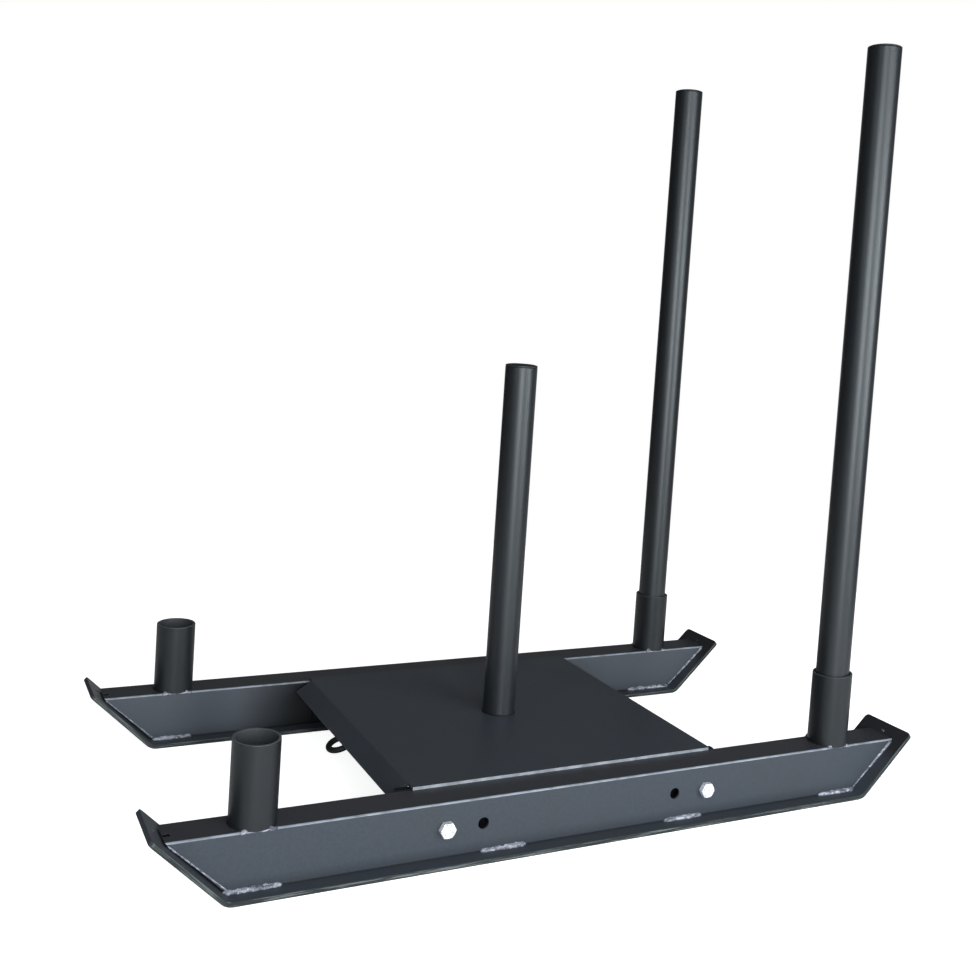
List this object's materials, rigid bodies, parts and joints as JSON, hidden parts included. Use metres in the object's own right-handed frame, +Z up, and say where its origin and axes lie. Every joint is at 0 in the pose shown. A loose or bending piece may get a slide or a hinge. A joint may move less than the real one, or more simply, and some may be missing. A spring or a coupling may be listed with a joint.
{
  "type": "push sled",
  "caption": "Steel push sled on bent-up skids, with removable push poles in end sockets, a weight post on its deck and a tow loop.",
  "frame": {"origin": "on the floor under the middle of the sled, centred along its length and width", "axes": "+X from the nose to the end with the push poles, +Y across the sled to its right side, +Z up; someone pushing it at the poles faces -X"},
  "size_m": [1.1198, 0.566, 1.0986],
  "materials": {
    "powder_coated_steel": "satin black powder coat",
    "black_moulding": "moulded, satin",
    "zinc_plated_steel": "bright zinc plate"
  },
  "bodies": {
    "sled": {"left_runner_tube": "powder_coated_steel", "left_skid_bar": "powder_coated_steel", "front_left_socket": "powder_coated_steel", "rear_left_socket": "powder_coated_steel", "right_runner_tube": "powder_coated_steel", "right_skid_bar": "powder_coated_steel", "front_right_socket": "powder_coated_steel", "rear_right_socket": "powder_coated_steel", "weight_post": "powder_coated_steel", "weight_post_cap": "black_moulding", "deck_plate": "powder_coated_steel", "left_side_plate": "powder_coated_steel", "right_side_plate": "powder_coated_steel", "front_cross_tube": "powder_coated_steel", "centre_cross_tube": "powder_coated_steel", "rear_cross_tube": "powder_coated_steel", "tow_loop": "powder_coated_steel", "front_left_bolt": "zinc_plated_steel", "front_left_washer": "zinc_plated_steel", "front_left_nut": "zinc_plated_steel", "rear_left_bolt": "zinc_plated_steel", "rear_left_washer": "zinc_plated_steel", "rear_left_nut": "zinc_plated_steel", "front_right_bolt": "zinc_plated_steel", "front_right_washer": "zinc_plated_steel", "front_right_nut": "zinc_plated_steel", "rear_right_bolt": "zinc_plated_steel", "rear_right_washer": "zinc_plated_steel", "rear_right_nut": "zinc_plated_steel"},
    "left_pole": {"left_push_pole": "powder_coated_steel", "left_pole_cap": "black_moulding"},
    "right_pole": {"right_push_pole": "powder_coated_steel", "right_pole_cap": "black_moulding"}
  },
  "joints": [
    {"name": "left_pole_lift", "type": "slide", "parent": "sled", "child": "left_pole", "axis": [0, 0, 1], "range_m": [0, 0.12]},
    {"name": "right_pole_lift", "type": "slide", "parent": "sled", "child": "right_pole", "axis": [0, 0, 1], "range_m": [0, 0.12]}
  ]
}
